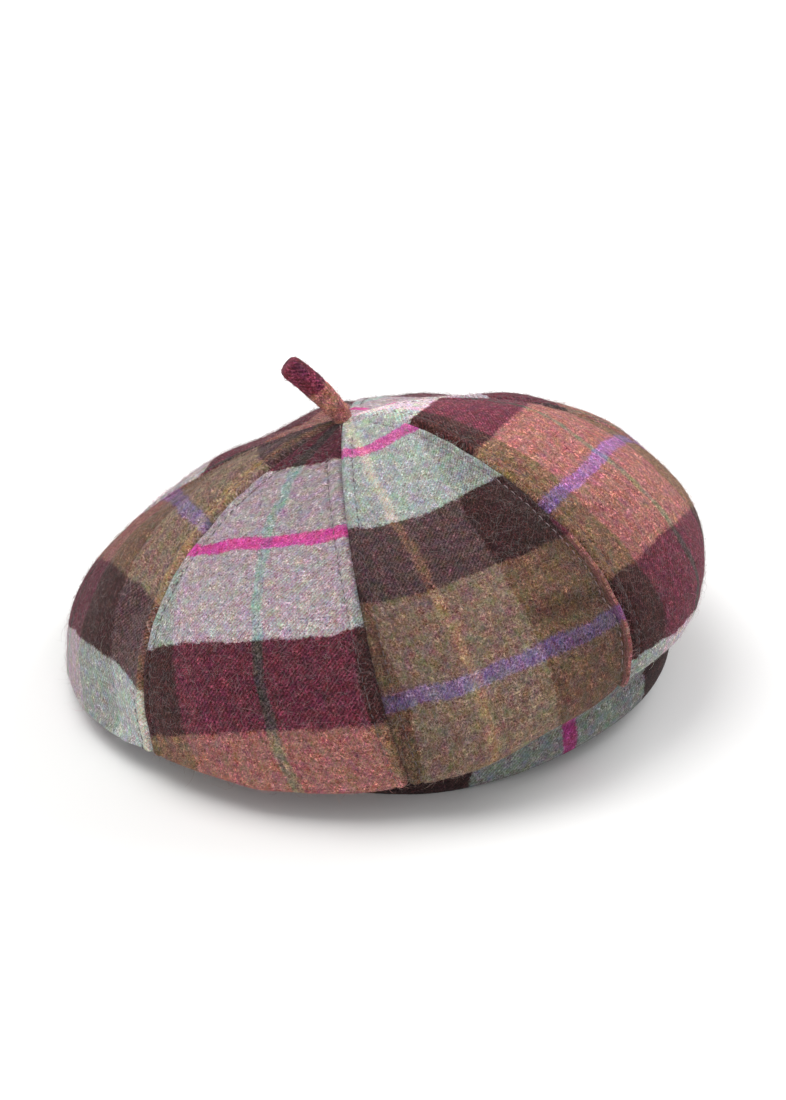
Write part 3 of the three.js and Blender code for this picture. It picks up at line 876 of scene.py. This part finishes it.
def check_group(sizes):
    """Node group of the checked wool: from a cloth place to its colour and the height of its nap."""
    tree = bpy.data.node_groups.new("Checked wool", "ShaderNodeTree")
    tree.interface.new_socket("Place", in_out="INPUT", socket_type="NodeSocketVector")
    tree.interface.new_socket("Color", in_out="OUTPUT", socket_type="NodeSocketColor")
    tree.interface.new_socket("Height", in_out="OUTPUT", socket_type="NodeSocketFloat")
    place = node(tree, "NodeGroupInput").outputs["Place"]
    leave = node(tree, "NodeGroupOutput")
    maths, vectors, scaled = (partial(made, tree) for made in (math_node, vector_node, scale_node))

    def noise(scale, detail, rough, stretch=(1.0, 1.0, 1.0)):
        moved = vectors("MULTIPLY", place, stretch)
        inputs = {"Vector": moved, "Scale": scale, "Detail": detail, "Roughness": rough}
        return node(tree, "ShaderNodeTexNoise", inputs, noise_dimensions="3D").outputs

    def hue(*settings):
        return vectors("SUBTRACT", noise(*settings)["Color"], (0.5, 0.5, 0.5))

    def light(*settings):
        return maths("SUBTRACT", noise(*settings)["Fac"], 0.5)

    # Woven edges wander a little: slowly over centimetres and quickly from yarn to yarn
    slow = hue(70.0, 1.0, 0.5)
    quick = hue(1000.0, 2.0, 0.6)
    wander = vectors("ADD", scaled(slow, SLOW_WANDER), scaled(quick, QUICK_WANDER))
    woven = vectors("ADD", place, wander)
    parts = node(tree, "ShaderNodeSeparateXYZ", {0: woven})
    warp = yarn_ramp(tree, parts.outputs["X"], WARP_ORDER, WARP_REPEAT)
    weft = yarn_ramp(tree, parts.outputs["Y"], WEFT_ORDER, WEFT_REPEAT)

    # Twill: slanting ribs in which warp and weft come to the face by turns
    ribs_at = vectors("ADD", place, scaled(quick, RIB_WANDER))
    exact = node(tree, "ShaderNodeSeparateXYZ", {0: ribs_at})
    slant = maths("ADD", exact.outputs["X"], exact.outputs["Y"])
    rib = maths("SINE", maths("MULTIPLY", slant, 2 * math.pi / (sizes.rib_pitch * MM)))
    warp_share = maths("ADD", maths("MULTIPLY", rib, sizes.rib_contrast), 1.0)
    weft_share = maths("SUBTRACT", 2.0, warp_share)
    both = vectors("ADD", scaled(warp, warp_share), scaled(weft, weft_share))

    # Heather: specks of differently dyed wool, some as long as a yarn's float
    specks = hue(1500.0, 3.0, 0.7)
    floats = hue(800.0, 2.0, 0.6, (1.0, 0.45, 1.0))
    clouds = hue(260.0, 3.0, 0.55)
    grey = light(1300.0, 3.0, 0.75, (0.6, 1.0, 1.0))
    patchy = light(380.0, 2.0, 0.6)
    broad = light(90.0, 2.0, 0.6)
    grain = maths("MULTIPLY", grey, sizes.shade_strength)
    grain = maths("ADD", grain, maths("MULTIPLY", patchy, 0.5 * sizes.shade_strength))
    grain = maths("ADD", grain, maths("MULTIPLY", broad, BROAD_SHADE))

    # Curled hairs: thin lines along which a noise passes its middle value, broken up by another noise
    broken = noise(260.0, 1.0, 0.5)["Fac"]
    hairs = 0.0
    for number, (scale, stretch, weight) in enumerate(HAIR_LAYERS):
        curl = vectors("ADD", place, (0.013 * number, 0.027 * number, 0.5 * number))
        curl = vectors("MULTIPLY", curl, stretch)
        curl = node(tree, "ShaderNodeTexNoise", {"Vector": curl, "Scale": scale, "Detail": 1.0}).outputs["Fac"]
        off = maths("ABSOLUTE", maths("SUBTRACT", curl, 0.5))
        line = node(tree, "ShaderNodeMapRange", {"Value": off, 1: 0.0, 2: HAIR_WIDTH, 3: weight, 4: 0.0}).outputs[0]
        hairs = maths("ADD", line, hairs)
    hairs = maths("MULTIPLY", hairs, maths("MULTIPLY", broken, 2 * sizes.hair_strength))
    grain = maths("ADD", grain, hairs)
    change = scaled((1.0, 1.0, 1.0), grain)
    for vector, amount in zip((specks, floats, clouds), HUE_AMOUNTS):
        change = vectors("ADD", change, scaled(vector, amount * sizes.speck_strength))
    # Pale cloth shows less of it than the rest for its brightness
    change = vectors("MULTIPLY", change, vectors("MINIMUM", both, (SPECK_LIMIT,) * 3))
    both = vectors("ADD", both, change)
    both = vectors("ADD", both, scaled((1.0, 0.93, 0.95), maths("MULTIPLY", hairs, 0.08)))
    both = vectors("MAXIMUM", both, (0.06, 0.05, 0.05))
    colour = vectors("MULTIPLY", both, both)
    height = maths("ADD", maths("MULTIPLY", rib, 0.12), noise(1300.0, 3.0, 0.7)["Fac"])
    height = maths("ADD", height, maths("MULTIPLY", noise(420.0, 2.0, 0.6)["Fac"], COARSE_NAP))
    height = maths("ADD", height, hairs)
    tree.links.new(colour, leave.inputs["Color"])
    tree.links.new(height, leave.inputs["Height"])
    return tree


def empty_material(name):
    """A new material and its node tree without nodes."""
    material = bpy.data.materials.new(name)
    material.use_nodes = True
    material.node_tree.nodes.clear()
    return material, material.node_tree


def mix_node(tree, share, first, second):
    """Colour that goes from the first to the second by a share."""
    return node(tree, "ShaderNodeMix", {"Factor": share, 6: first, 7: second}, data_type="RGBA").outputs[2]


def show(tree, shader):
    """Links a shader to the material's surface."""
    tree.links.new(shader.outputs["BSDF"], node(tree, "ShaderNodeOutputMaterial").inputs["Surface"])


def cloth_material(name, group, sizes, lighten=0.0, seed=0.0):
    """Checked wool on a piece's cloth places, its colour times the piece's shade, which holds painted light and
    shade, with a soft nap and sheen.
    """
    material, tree = empty_material(name)
    uv = node(tree, "ShaderNodeUVMap", uv_map="cloth").outputs["UV"]
    place = vector_node(tree, "ADD", uv, (0.0, 0.0, seed))
    cloth = node(tree, "ShaderNodeGroup", {"Place": place}, node_tree=group)
    # Painted light and shade: the vertex shade darkens or lightens the cloth's colour.
    shade = node(tree, "ShaderNodeAttribute", attribute_name="shade").outputs["Fac"]
    colour = scale_node(tree, cloth.outputs["Color"], shade)
    if lighten:
        colour = mix_node(tree, lighten, colour, (0.75, 0.68, 0.66, 1.0))
    shader = node(
        tree,
        "ShaderNodeBsdfPrincipled",
        {
            "Base Color": colour,
            "Roughness": 0.95,
            "Specular IOR Level": 0.15,
            "Sheen Weight": sizes.sheen,
            "Sheen Roughness": 0.5,
            "Sheen Tint": (1.0, 0.9, 0.9, 1.0),
        },
    )
    if not lighten:
        relief = {"Strength": sizes.nap_strength, "Distance": NAP_HEIGHT, "Height": cloth.outputs["Height"]}
        bump = node(tree, "ShaderNodeBump", relief)
        tree.links.new(bump.outputs["Normal"], shader.inputs["Normal"])
    show(tree, shader)
    return material


def thread_material(name, thread_colour):
    """Sewing thread of a colour, darker by half in its fine twist marks."""
    material, tree = empty_material(name)
    place = node(tree, "ShaderNodeTexCoord").outputs["Object"]
    noise = node(tree, "ShaderNodeTexNoise", {"Vector": place, "Scale": 2500.0, "Detail": 2.0}).outputs["Fac"]
    dark = tuple(0.55 * c for c in thread_colour)
    colour = mix_node(tree, noise, (*dark, 1.0), (*thread_colour, 1.0))
    shader = node(tree, "ShaderNodeBsdfPrincipled", {"Base Color": colour, "Roughness": 0.7, "Sheen Weight": 0.2})
    show(tree, shader)
    return material


def real(name, description, default):
    """Property of a size or strength."""
    return bpy.props.FloatProperty(name=name, description=description, default=default)


def tint(name, description, default):
    """Property of a colour."""
    return bpy.props.FloatVectorProperty(name=name, description=description, subtype="COLOR", default=default)


class CapSizes(bpy.types.PropertyGroup):
    """Sizes and strengths of the cap's cloth, in millimetres unless said otherwise."""

    cloth: real("Cloth", "Thickness of the cloth in mm", 1.6)
    edge_zone: real("Edge zone", "Finely meshed strip by a seam, in mm", 8.0)
    seam_depth: real("Seam depth", "Depth of the valley at a seam, in mm", 1.1)
    ridge_height: real("Ridge height", "Height beside a seam, in mm", 0.35)
    stitch_offset: real("Stitch offset", "From seam to stitches, in mm", 4.6)
    groove_depth: real("Groove depth", "How far stitches sink, in mm", 0.6)
    seam_pucker: real("Seam pucker", "Unevenness by a seam, in mm", 0.3)
    roll_height: real("Roll height", "Rolled ridge by one seam, in mm", 1.7)
    slack: real("Slack", "Height of the slack waves, in mm", 0.8)
    stitch_pitch: real("Stitch pitch", "From stitch to stitch, in mm", 3.3)
    stitch_length: real("Stitch length", "Length of a stitch, in mm", 2.3)
    thread_radius: real("Thread radius", "Thread's radius in mm", 0.15)
    fibre_density: real("Fibres", "Loose wool ends per mm2", 0.5)
    fibre_length: real("Fibre length", "Mean length in mm", 2.6)
    fibre_radius: real("Fibre radius", "Half width in mm", 0.04)
    band_pink_at: real("Band stripe", "Seam count of the pink stripe", 0.705)
    band_warp: real("Band warp", "Warp place of the band's top, in mm", 38.0)
    # Painted shade of the band: its colour is darkened for the shadow under the crown.
    band_painted_shade: real("Band shade", "Lightness of the band's cloth", 0.56)
    stalk_shade: real("Stalk shade", "Lightness of the stalk's cloth", 1.6)
    stalk_groove: real("Stalk seam", "Side of its seam, in degrees", 60.0)
    stalk_dark_from: real("Dark tip", "Share where the tip darkens", 0.64)
    stalk_length: real("Stalk length", "Cloth along the stalk, in mm", 27.0)
    stalk_warp: real("Stalk warp", "Warp place of the stalk, in mm", 20.0)
    rib_pitch: real("Rib pitch", "Twill rib spacing in mm", 1.5)
    rib_contrast: real("Rib contrast", "Share of the twill", 0.2)
    speck_strength: real("Specks", "Strength of dyed specks", 0.6)
    shade_strength: real("Shade", "Strength of light and dark wool", 1.35)
    hair_strength: real("Hairs", "Strength of curled hairs", 0.5)
    nap_strength: real("Nap", "Strength of the nap's relief", 0.9)
    sheen: real("Sheen", "Light caught by the nap", 0.08)
    thread_colour: tint("Thread", "Colour of the thread", (0.13, 0.09, 0.1))
    pale_thread_colour: tint("Pale thread", "Colour of the pale thread", (0.4, 0.28, 0.3))
    floor_colour: tint("Floor", "Colour of the floor", (0.95, 0.95, 0.95))


def shared_group(sizes):
    """The checked wool's node group, made once."""
    return bpy.data.node_groups.get("Checked wool") or check_group(sizes)


class CAP_OT_crown(bpy.types.Operator):
    """Makes the eight gores of the crown"""

    bl_idname = "cap.crown"
    bl_label = "Crown gores"

    def execute(self, context):
        sizes = context.scene.cap_sizes
        for gore in range(SEAM_COUNT):
            name = GORES[gore]["name"]
            wool = cloth_material("Wool " + name, shared_group(sizes), sizes, seed=0.3 * gore)
            make_gore(gore, sizes, wool)
        return {"FINISHED"}


class CAP_OT_headband(bpy.types.Operator):
    """Makes the headband"""

    bl_idname = "cap.headband"
    bl_label = "Headband"

    def execute(self, context):
        sizes = context.scene.cap_sizes
        make_headband(sizes, cloth_material("Wool headband", shared_group(sizes), sizes, seed=2.7))
        return {"FINISHED"}


class CAP_OT_stalk(bpy.types.Operator):
    """Makes the stalk on top"""

    bl_idname = "cap.stalk"
    bl_label = "Stalk"

    def execute(self, context):
        sizes = context.scene.cap_sizes
        wool = cloth_material("Wool stalk", shared_group(sizes), sizes, seed=3.1)
        surface = make_stalk(sizes, wool)
        make_fibres("stalk", surface, sizes, wool)
        return {"FINISHED"}


class CAP_OT_stitching(bpy.types.Operator):
    """Makes the topstitching beside the seams"""

    bl_idname = "cap.stitching"
    bl_label = "Topstitching"

    def execute(self, context):
        sizes = context.scene.cap_sizes
        surfaces = crown_surfaces(sizes)
        threads = [
            thread_material("Sewing thread", sizes.thread_colour),
            thread_material("Pale sewing thread", sizes.pale_thread_colour),
        ]
        make_stitches(surfaces, sizes, threads)
        return {"FINISHED"}


class CAP_OT_fibres(bpy.types.Operator):
    """Makes the loose wool ends on the crown"""

    bl_idname = "cap.fibres"
    bl_label = "Loose fibres"

    def execute(self, context):
        sizes = context.scene.cap_sizes
        surfaces = crown_surfaces(sizes)
        wool = cloth_material("Wool ends", shared_group(sizes), sizes, lighten=0.25)
        for row, surface in zip(GORES, surfaces):
            make_fibres(row["name"], surface, sizes, wool)
        return {"FINISHED"}


CAMERA_ELEVATION = 29.0
CAMERA_DISTANCE = 1200.0
CAMERA_TARGET = (0.3, 0.0, 55.85)
CAMERA_LENS = 111.9
FLOOR_HALF = 8.0


def area_light(name, place, aim, size, power, colour):
    """A square area light that looks from its place at a point."""
    data = bpy.data.lights.new(name, "AREA")
    data.shape = "SQUARE"
    data.size = size
    data.energy = power
    data.color = colour
    lamp = bpy.data.objects.new(name, data)
    lamp.location = place
    lamp.rotation_euler = (Vector(aim) - Vector(place)).to_track_quat("-Z", "Y").to_euler()
    bpy.context.scene.collection.objects.link(lamp)
    return lamp


class CAP_OT_stage(bpy.types.Operator):
    """Makes the floor, the light and the camera"""

    bl_idname = "cap.stage"
    bl_label = "Stage"

    def execute(self, context):
        sizes = context.scene.cap_sizes
        scene = context.scene
        mesh = bpy.data.meshes.new("floor")
        half = FLOOR_HALF
        mesh.from_pydata([(-half, -half, 0), (half, -half, 0), (half, half, 0), (-half, half, 0)], [], [(0, 1, 2, 3)])
        floor = bpy.data.objects.new("floor", mesh)
        scene.collection.objects.link(floor)
        material = bpy.data.materials.new("Pale floor")
        material.use_nodes = True
        shader = material.node_tree.nodes["Principled BSDF"]
        shader.inputs["Base Color"].default_value = (*sizes.floor_colour, 1.0)
        shader.inputs["Roughness"].default_value = 0.9
        shader.inputs["Specular IOR Level"].default_value = 0.1
        mesh.materials.append(material)
        world = bpy.data.worlds.new("Soft studio")
        world.use_nodes = True
        world.node_tree.nodes["Background"].inputs["Color"].default_value = (1.0, 1.0, 1.0, 1.0)
        # The eye sees the surroundings white, while they light the cap by half
        seen = node(world.node_tree, "ShaderNodeLightPath").outputs["Is Camera Ray"]
        strength = node(world.node_tree, "ShaderNodeMath", {0: seen, 1: 0.7, 2: 0.5}, operation="MULTIPLY_ADD")
        world.node_tree.links.new(strength.outputs[0], world.node_tree.nodes["Background"].inputs["Strength"])
        scene.world = world
        area_light("Key", (-0.5, 0.2, 1.4), (0, 0, 0.04), 1.2, 15.0, (1.0, 0.99, 0.97))
        area_light("Back", (1.0, 0.9, 0.8), (0, 0, 0.05), 0.9, 13.0, (1.0, 1.0, 1.0))
        area_light("Fill", (0.0, -1.3, 0.35), (0, 0, 0.04), 0.8, 4.0, (1.0, 1.0, 1.0))
        shift = working_shift()
        tilt = math.radians(CAMERA_ELEVATION)
        target = (np.array(CAMERA_TARGET) + shift) * MM
        away = np.array((0.0, -math.cos(tilt), math.sin(tilt))) * CAMERA_DISTANCE * MM
        data = bpy.data.cameras.new("Camera")
        data.lens = CAMERA_LENS
        data.sensor_width = 36.0
        data.clip_start = 0.05
        data.clip_end = 50.0
        camera = bpy.data.objects.new("Camera", data)
        camera.location = target + away
        camera.rotation_euler = (math.pi / 2 - tilt, 0.0, 0.0)
        scene.collection.objects.link(camera)
        scene.camera = camera
        scene.view_settings.view_transform = "Standard"
        return {"FINISHED"}


class CAP_PT_sidebar(bpy.types.Panel):
    """Sidebar of the cap's operators and sizes"""

    bl_idname = "CAP_PT_sidebar"
    bl_label = "Gored cap"
    bl_space_type = "VIEW_3D"
    bl_region_type = "UI"
    bl_category = "Cap"

    def draw(self, context):
        sizes = context.scene.cap_sizes
        for operator in BUILDERS:
            self.layout.operator(operator.bl_idname)
        for key in CapSizes.__annotations__:
            self.layout.prop(sizes, key)


BUILDERS = (CAP_OT_crown, CAP_OT_headband, CAP_OT_stalk, CAP_OT_stitching, CAP_OT_fibres, CAP_OT_stage)
CLASSES = (CapSizes, *BUILDERS, CAP_PT_sidebar)


def register():
    """Registers the classes and the scene's sizes."""
    for item in CLASSES:
        bpy.utils.register_class(item)
    bpy.types.Scene.cap_sizes = bpy.props.PointerProperty(type=CapSizes)


def unregister():
    """Removes the scene's sizes and the classes."""
    del bpy.types.Scene.cap_sizes
    for item in reversed(CLASSES):
        bpy.utils.unregister_class(item)


def main():
    """Builds the cap piece by piece."""
    register()
    bpy.ops.cap.crown()
    bpy.ops.cap.headband()
    bpy.ops.cap.stalk()
    bpy.ops.cap.stitching()
    bpy.ops.cap.fibres()
    bpy.ops.cap.stage()


if __name__ == "__main__":
    main()
